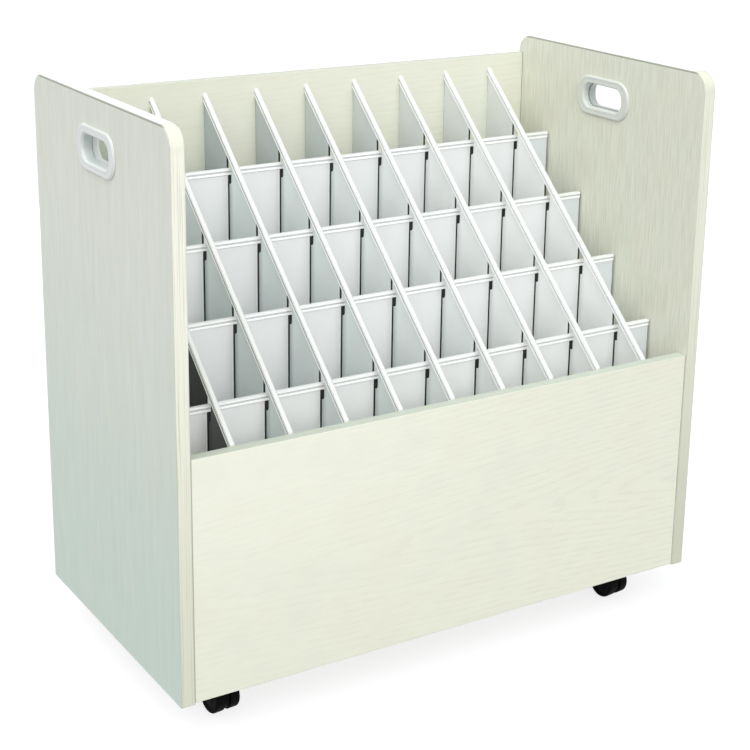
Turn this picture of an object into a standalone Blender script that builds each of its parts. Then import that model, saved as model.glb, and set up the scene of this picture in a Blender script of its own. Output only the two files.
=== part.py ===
"""Mobile roll file: a laminate cabinet on four swivel casters, with a grid of slotted dividers for rolled drawings.

Metres, +Z up. The origin is on the floor, under the middle of the cabinet. The open, low front faces -Y.
"""

import math

import bmesh
import bpy
from mathutils import Vector

# Cabinet
WIDTH = 0.768
DEPTH = 0.400
SIDE_HEIGHT = 0.688
GROUND_CLEARANCE = 0.055
SIDE_THICKNESS = 0.018
TOP_CORNER_RADIUS = 0.024
EDGE_ROUND = 0.0008
FIT_GAP = 0.0003
UNDER_RISE = 0.0015
FRONT_THICKNESS = 0.015
FRONT_TOP_HEIGHT = 0.3085
FRONT_RECESS = 0.001
BACK_THICKNESS = 0.009
BACK_TOP_DROP = 0.0255
BACK_RECESS = 0.0005
FLOOR_THICKNESS = 0.016

# Divider grid
BOARD_THICKNESS = 0.003
COLUMNS = 10
END_COLUMN_WIDTH = 0.0606
ROWS = 5
BACK_ROW_DEPTH = 0.068
FRONT_ROW_DEPTH = 0.063
SLOPE_BACK_DROP = 0.0175
SLOPE_FRONT_RISE = 0.001
CROSS_DROP = 0.0275
CROSS_END_CLEARANCE = 0.003
LAP_HEIGHT_SHARE = 0.45
SLIDE_GAP = 0.0004
SLOT_PLAY = 0.0028
MOUTH_PLAY = 0.0066
MOUTH_DEPTH = 0.0115
MOUTH_ROUND = 0.005
SHOULDER_ROUND = 0.0016

# Edge channels pressed over the dividers
BEAD_WIDTH = 0.0066
BEAD_HEIGHT = 0.0032
BEAD_ROUND = 0.0014
LEG_WALL = 0.0005
LIP_WALL = 0.0012
LIP_HEIGHT = 0.0032
CHANNEL_HEIGHT = 0.0085
CHANNEL_ROOF = 0.0016

# Handle holes
HANDLE_FROM_FRONT = 0.202
HANDLE_FROM_TOP = 0.063
HOLE_WIDTH = 0.080
HOLE_HEIGHT = 0.0325
HOLE_CORNER = 0.0145
FLANGE_REACH = 0.0112
FLANGE_STRETCH = 0.0044
FLANGE_CORNER_GAIN = 0.010
FLANGE_RISE = 0.0032
SLEEVE_WALL = 0.0016
SLEEVE_DRAFT = 0.0012
SLEEVE_SEAM = 0.0005
OUTER_SLEEVE_SHARE = 0.62

# Casters
CASTER_INSET = 0.079
WHEEL_RADIUS = 0.020
WHEEL_WIDTH = 0.0135
WHEEL_TRAIL = 0.017
TREAD_ROUND = 0.002
WEB_THICKNESS = 0.006
WEB_RADIUS = 0.018
SIDE_GAP = 0.0005
HUB_DISH = 0.0012
AXLE_RADIUS = 0.0025
AXLE_ENTRY = 0.009
HOOD_CLEARANCE = 0.0012
HOOD_WALL = 0.0018
HOOD_OVERHANG = 0.0008
BOSS_RADIUS = 0.0085
BOSS_DROP = 0.026
PIN_RADIUS = 0.004
PIN_LENGTH = 0.0125
PLATE_SIDE = 0.038
PLATE_CORNER = 0.005
PLATE_THICKNESS = 0.0022
PLATE_HOLE_RADIUS = 0.0022
PLATE_HOLE_SPACING = 0.028
HOOD_BACK_ANGLE = math.radians(-24)
HOOD_FRONT_ANGLE = math.radians(132)

# Brake pedals on the two rear casters
PEDAL_WIDTH = 0.022
PEDAL_LENGTH = 0.020
PEDAL_THICKNESS = 0.0026
BARREL_RADIUS = 0.0025
STUB_RADIUS = 0.0014
EAR_RADIUS = 0.0038
EAR_THICKNESS = 0.0024
PIVOT_ANGLE = math.radians(120)
BARREL_SWEEP = math.radians(215)
SHOE_ANGLE = math.radians(146)
SHOE_GAP = 0.0027
SHOE_THICKNESS = 0.003
PEDAL_DIP = math.radians(24)

# Circle counts
CORNER_STEPS = 10
HOLE_CORNER_STEPS = 5
ROUND_STEPS = 20
SMALL_STEPS = 12
SCREW_HOLE_STEPS = 8
PLATE_CORNER_STEPS = 3
OVERRUN = 0.002

# How each caster stands at rest, turned about its pin: name, side, end, heading, braked
CASTERS = [
    ("front_left", -1, -1, math.radians(5), False),
    ("front_right", 1, -1, math.radians(6), False),
    ("rear_left", -1, 1, math.radians(7), True),
    ("rear_right", 1, 1, math.radians(-14), True),
]

# Derived planes of the cabinet
FRONT_Y = -DEPTH / 2
BACK_Y = DEPTH / 2
BOTTOM_Z = GROUND_CLEARANCE
TOP_Z = BOTTOM_Z + SIDE_HEIGHT
UNDER_Z = BOTTOM_Z + UNDER_RISE
FLOOR_TOP_Z = UNDER_Z + FLOOR_THICKNESS
INNER_HALF_WIDTH = WIDTH / 2 - SIDE_THICKNESS
FRONT_TOP_Z = BOTTOM_Z + FRONT_TOP_HEIGHT
BACK_TOP_Z = TOP_Z - BACK_TOP_DROP
FRONT_FACE_IN = FRONT_Y + FRONT_RECESS + FRONT_THICKNESS
BACK_FACE_IN = BACK_Y - BACK_RECESS - BACK_THICKNESS
GRID_FRONT_Y = FRONT_FACE_IN + FIT_GAP
GRID_BACK_Y = BACK_FACE_IN - FIT_GAP
GRID_BASE_Z = FLOOR_TOP_Z + FIT_GAP
COLUMN_PITCH = 2 * (INNER_HALF_WIDTH - END_COLUMN_WIDTH) / (COLUMNS - 2)
ROW_PITCH = (BACK_FACE_IN - FRONT_FACE_IN - BACK_ROW_DEPTH - FRONT_ROW_DEPTH) / (ROWS - 2)
SLOPE_FRONT_Z = FRONT_TOP_Z + SLOPE_FRONT_RISE
SLOPE_BACK_Z = BACK_TOP_Z - SLOPE_BACK_DROP
SLOPE = (SLOPE_BACK_Z - SLOPE_FRONT_Z) / (BACK_FACE_IN - FRONT_FACE_IN)
SLOPE_STRETCH = math.hypot(1, SLOPE)
HALF_BOARD = BOARD_THICKNESS / 2
AXLE_Z = WHEEL_RADIUS
PLATE_TOP_Z = UNDER_Z - FIT_GAP
PLATE_BOTTOM_Z = PLATE_TOP_Z - PLATE_THICKNESS
HOUSING_TOP_Z = PLATE_BOTTOM_Z - FIT_GAP
HOOD_INNER_RADIUS = WHEEL_RADIUS + HOOD_CLEARANCE
HOOD_OUTER_RADIUS = HOOD_INNER_RADIUS + HOOD_WALL
WHEEL_INNER_X = WEB_THICKNESS / 2 + SIDE_GAP
WHEEL_OUTER_X = WHEEL_INNER_X + WHEEL_WIDTH
HOOD_HALF_WIDTH = WHEEL_OUTER_X + HOOD_OVERHANG
PIVOT_RADIUS = HOOD_OUTER_RADIUS + BARREL_RADIUS + FIT_GAP


def clear_scene():
    """Empty the scene of whatever it starts with."""
    for item in list(bpy.data.objects):
        bpy.data.objects.remove(item, do_unlink=True)


def finish(name, colour, roughness, metallic=0.0):
    """A plain finish for one kind of sub-part."""
    material = bpy.data.materials.get(name) or bpy.data.materials.new(name)
    material.use_nodes = True
    shader = material.node_tree.nodes["Principled BSDF"]
    shader.inputs["Base Color"].default_value = (*colour, 1)
    shader.inputs["Roughness"].default_value = roughness
    shader.inputs["Metallic"].default_value = metallic
    material.diffuse_color = (*colour, 1)
    return material


def laminate():
    return finish("cream_laminate", (0.80, 0.81, 0.70), 0.45)


def divider_board():
    return finish("grey_divider_board", (0.72, 0.75, 0.74), 0.70)


def white_channel():
    return finish("white_channel", (0.92, 0.92, 0.91), 0.35)


def white_bezel():
    return finish("white_bezel", (0.88, 0.90, 0.88), 0.30)


def black_plastic():
    return finish("black_plastic", (0.012, 0.012, 0.013), 0.38)


def black_tread():
    return finish("black_tread", (0.018, 0.018, 0.020), 0.55)


def bright_steel():
    return finish("bright_steel", (0.62, 0.63, 0.64), 0.30, 1.0)


def place(name, mesh_data, material, parent=None, at=(0, 0, 0)):
    """Close a bmesh into an object, with its faces out and its round faces smooth."""
    bmesh.ops.recalc_face_normals(mesh_data, faces=mesh_data.faces[:])
    mesh = bpy.data.meshes.new(name)
    mesh_data.to_mesh(mesh)
    mesh_data.free()
    mesh.shade_smooth()
    mesh.set_sharp_from_angle(angle=math.radians(32))
    mesh.materials.append(material)
    item = bpy.data.objects.new(name, mesh)
    bpy.context.scene.collection.objects.link(item)
    item.parent = parent
    item.location = at
    return item


def empty(name, at, turn=0.0, parent=None):
    """A joint's axis point, which carries what moves on it."""
    item = bpy.data.objects.new(name, None)
    bpy.context.scene.collection.objects.link(item)
    item.parent = parent
    item.location = at
    item.rotation_euler[2] = turn
    return item


def arc(centre, radius, start, end, steps):
    """Points on an arc, both ends included."""
    turns = [start + (end - start) * step / steps for step in range(steps + 1)]
    return [(centre[0] + radius * math.cos(turn), centre[1] + radius * math.sin(turn)) for turn in turns]


def loft(loops, closed_ends=True):
    """Skin over loops of as many points each, with a face on both ends."""
    data = bmesh.new()
    rings = [[data.verts.new(point) for point in loop] for loop in loops]
    for ring, following in zip(rings, rings[1:]):
        for here, there in zip(range(len(ring)), [*range(1, len(ring)), 0]):
            data.faces.new((ring[here], ring[there], following[there], following[here]))
    if closed_ends:
        data.faces.new(rings[0])
        data.faces.new(rings[-1])
    else:
        for here, there in zip(range(len(rings[0])), [*range(1, len(rings[0])), 0]):
            data.faces.new((rings[-1][here], rings[-1][there], rings[0][there], rings[0][here]))
    return data


def prism(outline, low, high, axis):
    """An outline pushed from one plane to another along X or Z."""
    if axis == "X":
        return loft([[(at, u, v) for u, v in outline] for at in (low, high)])
    return loft([[(u, v, at) for u, v in outline] for at in (low, high)])


def turned(profile, steps, axis):
    """A profile of (along, radius) points turned about X or Z, with a flat face on both ends."""
    turns = [2 * math.pi * step / steps for step in range(steps)]
    loops = []
    for along, radius in profile:
        spots = [(radius * math.cos(turn), radius * math.sin(turn)) for turn in turns]
        loops.append([(along, u, v) if axis == "X" else (u, v, along) for u, v in spots])
    return loft(loops)


def cutter(name, data, parent=None, at=(0, 0, 0)):
    """A shape that only cuts or joins others."""
    item = place(name, data, black_plastic(), parent, at)
    item.hide_render = True
    item.display_type = "WIRE"
    return item


def combine(item, other, operation):
    """Join another shape to this one, or cut it away."""
    step = item.modifiers.new(other.name, "BOOLEAN")
    step.object = other
    step.operation = operation
    step.solver = "EXACT"


def soften(item):
    """Ease the long edges of a laminated panel."""
    bevel = item.modifiers.new("eased_edges", "BEVEL")
    bevel.width = EDGE_ROUND
    bevel.segments = 2
    bevel.limit_method = "ANGLE"
    bevel.angle_limit = math.radians(50)


def box(low, high):
    """A rectangular block between two corners."""
    outline = [(low[0], low[1]), (high[0], low[1]), (high[0], high[1]), (low[0], high[1])]
    return prism(outline, low[2], high[2], "Z")


def handle_outline(out):
    """The handle hole's outline in (Y, Z), moved out by a distance, a little more to the ends than up and down."""
    share = out / FLANGE_REACH
    corner = HOLE_CORNER + FLANGE_CORNER_GAIN * share
    reach_y = HOLE_WIDTH / 2 + out + FLANGE_STRETCH * share - corner
    reach_z = HOLE_HEIGHT / 2 + out - corner
    centre_y = FRONT_Y + HANDLE_FROM_FRONT
    centre_z = TOP_Z - HANDLE_FROM_TOP
    points = []
    for quarter, (u, v) in enumerate([(1, 1), (-1, 1), (-1, -1), (1, -1)]):
        start = quarter * math.pi / 2
        middle = (centre_y + u * reach_y, centre_z + v * reach_z)
        points += arc(middle, corner, start, start + math.pi / 2, HOLE_CORNER_STEPS)
    return points


def side_panel(name, side):
    """A side: round top corners and a handle hole through it."""
    radius = TOP_CORNER_RADIUS
    outline = [(FRONT_Y, BOTTOM_Z), (BACK_Y, BOTTOM_Z)]
    outline += arc((BACK_Y - radius, TOP_Z - radius), radius, 0, math.pi / 2, CORNER_STEPS)
    outline += arc((FRONT_Y + radius, TOP_Z - radius), radius, math.pi / 2, math.pi, CORNER_STEPS)
    faces = sorted((side * INNER_HALF_WIDTH, side * WIDTH / 2))
    panel = place(name, prism(outline, faces[0], faces[1], "X"), laminate())
    soften(panel)
    hole = prism(handle_outline(SLEEVE_WALL + FIT_GAP), faces[0] - OVERRUN, faces[1] + OVERRUN, "X")
    combine(panel, cutter(f"{name}_hole", hole), "DIFFERENCE")


def bezel(name, side, outside):
    """One half of a handle bezel: a dished flange on the panel's face and a sleeve in its hole."""
    run = SIDE_THICKNESS - SLEEVE_SEAM
    sleeve = run * OUTER_SLEEVE_SHARE if outside else run * (1 - OUTER_SLEEVE_SHARE)
    draft = SLEEVE_DRAFT if outside else 0
    rim_shares = [(0, 0), (0.05, 0.56), (0.19, 0.94), (0.50, 0.80), (0.80, 0.94), (0.94, 0.68), (1, 0.25)]
    profile = [(-draft, -sleeve)]
    profile += [(out * FLANGE_REACH, rise * FLANGE_RISE) for out, rise in rim_shares]
    profile += [(FLANGE_REACH, FIT_GAP), (SLEEVE_WALL, FIT_GAP), (SLEEVE_WALL - draft, -sleeve)]
    face = WIDTH / 2 if outside else INNER_HALF_WIDTH
    way = 1 if outside else -1
    loops = [[(side * (face + way * rise), y, z) for y, z in handle_outline(out)] for out, rise in profile]
    place(name, loft(loops, closed_ends=False), white_bezel())


def front_panel():
    low = (-INNER_HALF_WIDTH + FIT_GAP, FRONT_Y + FRONT_RECESS, UNDER_Z)
    high = (INNER_HALF_WIDTH - FIT_GAP, FRONT_FACE_IN, FRONT_TOP_Z)
    soften(place("front_panel", box(low, high), laminate()))


def back_panel():
    low = (-INNER_HALF_WIDTH + FIT_GAP, BACK_FACE_IN, UNDER_Z)
    high = (INNER_HALF_WIDTH - FIT_GAP, BACK_Y - BACK_RECESS, BACK_TOP_Z)
    soften(place("back_panel", box(low, high), laminate()))


def bottom_panel():
    low = (-INNER_HALF_WIDTH + FIT_GAP, GRID_FRONT_Y, UNDER_Z)
    high = (INNER_HALF_WIDTH - FIT_GAP, GRID_BACK_Y, FLOOR_TOP_Z)
    soften(place("bottom_panel", box(low, high), laminate()))


def slope_z(y):
    """Height of the sloping channels' crest."""
    return SLOPE_FRONT_Z + SLOPE * (y - FRONT_FACE_IN)


def column_x(column):
    """Middle of a sloping divider, 1 to 9 from the left."""
    return (column - COLUMNS / 2) * COLUMN_PITCH


def row_y(row):
    """Middle of a cross divider, 1 at the back to 4 at the front."""
    return BACK_FACE_IN - BACK_ROW_DEPTH - (row - 1) * ROW_PITCH


def cross_z(row):
    """Height of a cross channel's crest."""
    return slope_z(row_y(row)) - CROSS_DROP


def lap_z(row):
    """Where the two half laps of a crossing meet."""
    return GRID_BASE_Z + LAP_HEIGHT_SHARE * (cross_z(row) - GRID_BASE_Z)


def board_top_z(y):
    """Top edge of a sloping divider, under its channel."""
    return slope_z(y) - (CHANNEL_ROOF + FIT_GAP) * SLOPE_STRETCH


def slot_outline(row):
    """One open slot of a sloping divider, from its back edge down and up to its front edge."""
    middle = row_y(row)
    mouth_back = middle + BEAD_WIDTH / 2 + SLIDE_GAP
    mouth_front = middle - BEAD_WIDTH / 2 - MOUTH_PLAY
    slot_back = middle + HALF_BOARD + SLIDE_GAP
    slot_front = middle - HALF_BOARD - SLOT_PLAY
    mouth_z = cross_z(row) - CHANNEL_HEIGHT - MOUTH_DEPTH
    shoulder = (slot_back + SHOULDER_ROUND, mouth_z + SHOULDER_ROUND)
    bowl = (mouth_front + MOUTH_ROUND, mouth_z + MOUTH_ROUND)
    bowl_end = math.acos((slot_front - bowl[0]) / MOUTH_ROUND)
    points = [(mouth_back, board_top_z(mouth_back)), (mouth_back, shoulder[1] + SHOULDER_ROUND)]
    points += arc(shoulder, SHOULDER_ROUND, -math.pi / 2, -math.pi, 2)
    points += [(slot_back, lap_z(row)), (slot_front, lap_z(row))]
    points += arc(bowl, MOUTH_ROUND, 2 * math.pi - bowl_end, math.pi, 5)
    points.append((mouth_front, board_top_z(mouth_front)))
    return points


def sloping_divider(column):
    """A board that stands front to back, its top edge down towards the front, slotted from above."""
    outline = [(GRID_FRONT_Y, GRID_BASE_Z), (GRID_BACK_Y, GRID_BASE_Z), (GRID_BACK_Y, board_top_z(GRID_BACK_Y))]
    for row in range(1, ROWS):
        outline += slot_outline(row)
    outline.append((GRID_FRONT_Y, board_top_z(GRID_FRONT_Y)))
    middle = column_x(column)
    board = prism(outline, middle - HALF_BOARD, middle + HALF_BOARD, "X")
    place(f"sloping_divider_{column}", board, divider_board())


def cross_divider(row):
    """A board that stands side to side, slotted from below over every sloping divider."""
    top = cross_z(row) - CHANNEL_ROOF - FIT_GAP
    end = INNER_HALF_WIDTH - CROSS_END_CLEARANCE
    slot_half = HALF_BOARD + FIT_GAP
    slot_top = lap_z(row) + FIT_GAP
    outline = [(-end, GRID_BASE_Z)]
    for column in range(1, COLUMNS):
        middle = column_x(column)
        outline += [(middle - slot_half, GRID_BASE_Z), (middle - slot_half, slot_top)]
        outline += [(middle + slot_half, slot_top), (middle + slot_half, GRID_BASE_Z)]
    outline += [(end, GRID_BASE_Z), (end, top), (-end, top)]
    loops = [[(x, y, z) for x, z in outline] for y in (row_y(row) - HALF_BOARD, row_y(row) + HALF_BOARD)]
    place(f"cross_divider_{row}", loft(loops), divider_board())


def channel_section():
    """The edge channel's section in (across, below the crest): a round bead on two thin legs with a lip at the foot."""
    bead = BEAD_WIDTH / 2
    inner = HALF_BOARD + FIT_GAP
    neck = inner + LEG_WALL
    lip = inner + LIP_WALL
    crest = bead - BEAD_ROUND
    lip_top = CHANNEL_HEIGHT - LIP_HEIGHT
    right = [(inner, CHANNEL_HEIGHT), (lip, CHANNEL_HEIGHT), (lip, lip_top), (neck, lip_top)]
    right += [(neck, BEAD_HEIGHT), (bead, BEAD_HEIGHT)]
    right += arc((crest, BEAD_ROUND), BEAD_ROUND, 0, -math.pi / 2, 3)
    left = [(-across, below) for across, below in reversed(right)]
    return right + left + [(-inner, CHANNEL_ROOF), (inner, CHANNEL_ROOF)]


def sloping_trim(column):
    """The channel along a sloping divider's top edge, its ends cut upright."""
    middle = column_x(column)
    loops = []
    for y in (GRID_FRONT_Y, GRID_BACK_Y):
        section = channel_section()
        loops.append([(middle + across, y, slope_z(y) - below * SLOPE_STRETCH) for across, below in section])
    place(f"sloping_trim_{column}", loft(loops), white_channel())


def cross_trim(row):
    """The channel along a cross divider's top edge, which passes through the mouths of the slots."""
    end = INNER_HALF_WIDTH - CROSS_END_CLEARANCE
    loops = []
    for x in (-end, end):
        loops.append([(x, row_y(row) + across, cross_z(row) - below) for across, below in channel_section()])
    place(f"cross_trim_{row}", loft(loops), white_channel())


def rounded_square(side, corner, z, steps):
    """A square with round corners, as many points as a circle of four times the steps and one more each."""
    reach = side / 2 - corner
    points = []
    for quarter, (u, v) in enumerate([(1, 1), (-1, 1), (-1, -1), (1, -1)]):
        start = quarter * math.pi / 2
        points += arc((u * reach, v * reach), corner, start, start + math.pi / 2, steps)
    return [(u, v, z) for u, v in points]


def ring_to_match(radius, z, steps):
    """A circle whose points pair with those of a rounded square."""
    points = []
    for quarter in range(4):
        middle = quarter * math.pi / 2
        points += arc((0, 0), radius, middle, middle + math.pi / 2 * steps / (steps + 1), steps)
    return [(u, v, z) for u, v in points]


def caster_plate(name, pin_spot):
    """The screwed plate with the pin that the housing turns on."""
    steps = PLATE_CORNER_STEPS
    pin_end = HOUSING_TOP_Z - PIN_LENGTH
    pin_tip = PIN_RADIUS / 4
    loops = [rounded_square(PLATE_SIDE, PLATE_CORNER, z, steps) for z in (PLATE_TOP_Z, PLATE_BOTTOM_Z)]
    loops.append(ring_to_match(PIN_RADIUS, PLATE_BOTTOM_Z, steps))
    loops.append(ring_to_match(PIN_RADIUS, pin_end + pin_tip, steps))
    loops.append(ring_to_match(PIN_RADIUS - pin_tip, pin_end, steps))
    plate = place(f"{name}_caster_plate", loft(loops), bright_steel(), None, pin_spot)
    for u in (-1, 1):
        for v in (-1, 1):
            spot = (u * PLATE_HOLE_SPACING / 2, v * PLATE_HOLE_SPACING / 2)
            low = PLATE_BOTTOM_Z - OVERRUN
            high = PLATE_TOP_Z + OVERRUN
            shape = turned([(low, PLATE_HOLE_RADIUS), (high, PLATE_HOLE_RADIUS)], SCREW_HOLE_STEPS, "Z")
            hole = cutter(f"{name}_plate_hole_{u}_{v}", shape, None, (pin_spot[0] + spot[0], pin_spot[1] + spot[1], 0))
            combine(plate, hole, "DIFFERENCE")


def hood_block(low, high):
    """The part of a disc about the axle that the hood covers, cut straight across, in the housing's frame."""
    rim = arc((-WHEEL_TRAIL, AXLE_Z), HOOD_OUTER_RADIUS, HOOD_BACK_ANGLE, HOOD_FRONT_ANGLE, ROUND_STEPS // 2)
    return prism(rim, low, high, "X")


def disc_x(radius, low, high, steps):
    """A round block about X."""
    return turned([(low, radius), (high, radius)], steps, "X")


def pivot_spot():
    """Where the brake pedal turns, in the housing's frame."""
    return (
        0,
        -WHEEL_TRAIL + PIVOT_RADIUS * math.cos(PIVOT_ANGLE),
        AXLE_Z + PIVOT_RADIUS * math.sin(PIVOT_ANGLE),
    )


def caster_housing(name, swivel, braked):
    """Hood, web and pin socket in one moulding, with a space for each wheel."""
    chamfer = BOSS_RADIUS / 8
    boss = [(BOSS_DROP, BOSS_RADIUS - chamfer), (BOSS_DROP + chamfer, BOSS_RADIUS)]
    boss += [(HOUSING_TOP_Z - chamfer, BOSS_RADIUS), (HOUSING_TOP_Z, BOSS_RADIUS - chamfer)]
    housing = place(f"{name}_caster_housing", turned(boss, ROUND_STEPS, "Z"), black_plastic(), swivel)
    hub = (0, -WHEEL_TRAIL, AXLE_Z)
    hood = hood_block(-HOOD_HALF_WIDTH, HOOD_HALF_WIDTH)
    combine(housing, cutter(f"{name}_hood", hood, swivel), "UNION")
    for side in (-1, 1):
        edges = sorted((side * WEB_THICKNESS / 2, side * (HOOD_HALF_WIDTH + OVERRUN)))
        space = disc_x(HOOD_INNER_RADIUS, edges[0], edges[1], ROUND_STEPS)
        combine(housing, cutter(f"{name}_wheel_space_{side}", space, swivel, hub), "DIFFERENCE")
    web = disc_x(WEB_RADIUS, -WEB_THICKNESS / 2 + FIT_GAP, WEB_THICKNESS / 2 - FIT_GAP, ROUND_STEPS)
    combine(housing, cutter(f"{name}_web", web, swivel, hub), "UNION")
    if braked:
        for side in (-1, 1):
            near = side * (PEDAL_WIDTH / 2 + FIT_GAP)
            edges = sorted((near, near + side * EAR_THICKNESS))
            ear = disc_x(EAR_RADIUS, edges[0], edges[1], SMALL_STEPS)
            combine(housing, cutter(f"{name}_ear_{side}", ear, swivel, pivot_spot()), "UNION")
        eye = disc_x(STUB_RADIUS + FIT_GAP, -HOOD_HALF_WIDTH, HOOD_HALF_WIDTH, SMALL_STEPS)
        combine(housing, cutter(f"{name}_pedal_eye", eye, swivel, pivot_spot()), "DIFFERENCE")
    bore = disc_x(AXLE_RADIUS + FIT_GAP, -WEB_THICKNESS, WEB_THICKNESS, SMALL_STEPS)
    combine(housing, cutter(f"{name}_axle_bore", bore, swivel, hub), "DIFFERENCE")
    low = HOUSING_TOP_Z - PIN_LENGTH - FIT_GAP
    high = HOUSING_TOP_Z + OVERRUN
    reach = PIN_RADIUS + FIT_GAP
    socket = turned([(low, reach), (high, reach)], 4 * (PLATE_CORNER_STEPS + 1), "Z")
    combine(housing, cutter(f"{name}_pin_socket", socket, swivel), "DIFFERENCE")


def caster_axle(name, swivel):
    """The plain axle, pressed into the web, that both wheels turn on."""
    end = WHEEL_INNER_X + AXLE_ENTRY
    tip = AXLE_RADIUS / 5
    profile = [(-end, AXLE_RADIUS - tip), (-end + tip, AXLE_RADIUS)]
    profile += [(end - tip, AXLE_RADIUS), (end, AXLE_RADIUS - tip)]
    hub = (0, -WHEEL_TRAIL, AXLE_Z)
    place(f"{name}_caster_axle", turned(profile, SMALL_STEPS, "X"), bright_steel(), swivel, hub)


def caster_wheel(name, swivel, side, label):
    """A wheel with a crowned tread, a dished face and a blind bore for the axle."""
    bore = AXLE_RADIUS + FIT_GAP
    inner = WHEEL_INNER_X
    outer = WHEEL_OUTER_X
    blind = inner + AXLE_ENTRY + FIT_GAP
    shoulder = WHEEL_RADIUS - TREAD_ROUND
    profile = [(blind, bore), (inner, bore), (inner, shoulder), (inner + TREAD_ROUND / 2, WHEEL_RADIUS)]
    profile += arc((outer - TREAD_ROUND, shoulder), TREAD_ROUND, math.pi / 2, 0, 3)
    rim_share = 0.80
    dish_share = 0.74
    cap_share = 0.36
    crown_share = 0.22
    profile += [(outer, WHEEL_RADIUS * rim_share), (outer - HUB_DISH, WHEEL_RADIUS * dish_share)]
    profile += [(outer - HUB_DISH, WHEEL_RADIUS * cap_share), (outer - HUB_DISH / 3, WHEEL_RADIUS * crown_share)]
    turned_wheel = turned([(side * along, radius) for along, radius in profile], ROUND_STEPS, "X")
    hub = (0, -WHEEL_TRAIL, AXLE_Z)
    place(f"{name}_caster_wheel_{label}", turned_wheel, black_tread(), swivel, hub)


def pedal_outline():
    """The brake pedal seen along its barrel, from the pivot: a barrel, a sloping plate and a shoe over the treads."""
    forward = Vector((-math.cos(PEDAL_DIP), -math.sin(PEDAL_DIP)))
    up = Vector((forward[1], -forward[0]))
    radial = Vector((math.cos(SHOE_ANGLE), math.sin(SHOE_ANGLE)))
    tangent = Vector((-radial[1], radial[0]))
    axle = -PIVOT_RADIUS * Vector((math.cos(PIVOT_ANGLE), math.sin(PIVOT_ANGLE)))
    top = BARREL_RADIUS
    low = BARREL_RADIUS - PEDAL_THICKNESS
    tip = PEDAL_THICKNESS / 3
    points = [forward * PEDAL_LENGTH + up * (top - tip), forward * (PEDAL_LENGTH - tip) + up * top]
    for turn in [BARREL_SWEEP * step / 6 for step in range(7)]:
        points.append((up * math.cos(turn) - forward * math.sin(turn)) * BARREL_RADIUS)
    sides = [axle + tangent * offset for offset in (-SHOE_THICKNESS / 2, SHOE_THICKNESS / 2)]
    roots = [side + radial * (low - side.dot(up)) / radial.dot(up) for side in sides]
    heels = [side + radial * (WHEEL_RADIUS + SHOE_GAP) for side in sides]
    points += [roots[0], heels[0], heels[1], roots[1]]
    points += [forward * (PEDAL_LENGTH - tip) + up * low, forward * PEDAL_LENGTH + up * (low + tip)]
    return [tuple(point) for point in points]


def brake_pedal(name, swivel):
    """A rocking pedal whose stubs turn in the housing's ears."""
    body = prism(pedal_outline(), -PEDAL_WIDTH / 2, PEDAL_WIDTH / 2, "X")
    pedal = place(f"{name}_brake_pedal", body, black_plastic(), swivel, pivot_spot())
    reach = PEDAL_WIDTH / 2 + FIT_GAP + EAR_THICKNESS
    stubs = disc_x(STUB_RADIUS, -reach, reach, SMALL_STEPS)
    combine(pedal, cutter(f"{name}_stubs", stubs, swivel, pivot_spot()), "UNION")


def caster(name, side, end, heading, braked):
    """One twin-wheel caster, turned to its heading about its pin."""
    spot = (side * (WIDTH / 2 - CASTER_INSET), end * (DEPTH / 2 - CASTER_INSET), 0)
    caster_plate(name, spot)
    swivel = empty(f"{name}_caster_swivel", spot, heading)
    caster_housing(name, swivel, braked)
    caster_axle(name, swivel)
    caster_wheel(name, swivel, -1, "left")
    caster_wheel(name, swivel, 1, "right")
    if braked:
        brake_pedal(name, swivel)


def main():
    clear_scene()
    for label, side in (("left", -1), ("right", 1)):
        side_panel(f"{label}_side_panel", side)
        bezel(f"{label}_outer_handle_bezel", side, True)
        bezel(f"{label}_inner_handle_bezel", side, False)
    front_panel()
    back_panel()
    bottom_panel()
    for column in range(1, COLUMNS):
        sloping_divider(column)
        sloping_trim(column)
    for row in range(1, ROWS):
        cross_divider(row)
        cross_trim(row)
    for name, side, end, heading, braked in CASTERS:
        caster(name, side, end, heading, braked)


main()
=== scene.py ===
"""Looks of the mobile roll file organizer: laminates, edge channels, bezels and casters, with camera and light."""
import math

import bmesh
import bpy
from mathutils import Matrix, Vector


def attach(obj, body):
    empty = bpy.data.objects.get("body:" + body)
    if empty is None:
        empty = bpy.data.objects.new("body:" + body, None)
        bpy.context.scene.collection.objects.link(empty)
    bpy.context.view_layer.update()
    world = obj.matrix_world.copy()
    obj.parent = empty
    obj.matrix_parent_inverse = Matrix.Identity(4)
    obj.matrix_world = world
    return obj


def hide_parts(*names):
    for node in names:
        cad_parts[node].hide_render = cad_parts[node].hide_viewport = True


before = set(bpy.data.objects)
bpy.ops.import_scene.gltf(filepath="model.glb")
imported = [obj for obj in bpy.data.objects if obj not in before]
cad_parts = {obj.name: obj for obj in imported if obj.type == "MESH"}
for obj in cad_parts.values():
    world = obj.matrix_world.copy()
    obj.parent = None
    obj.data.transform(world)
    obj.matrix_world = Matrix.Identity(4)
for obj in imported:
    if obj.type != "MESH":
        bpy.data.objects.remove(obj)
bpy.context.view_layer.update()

# Sizes in metres, as the solids have them
WIDTH = 0.768
DEPTH = 0.400
TOP_Z = 0.743
TOP_CORNER = 0.024
SIDE_THICKNESS = 0.018
INNER_HALF_WIDTH = WIDTH / 2 - SIDE_THICKNESS
FRONT_TOP_Z = 0.3635
BACK_TOP_Z = 0.7175
FRONT_FACE_IN = -0.184
BACK_FACE_IN = 0.1905
GRID_FRONT_Y = FRONT_FACE_IN + 0.0003
GRID_BACK_Y = BACK_FACE_IN - 0.0003
FIT_GAP = 0.0003
EASED_EDGE = 0.0008

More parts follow.
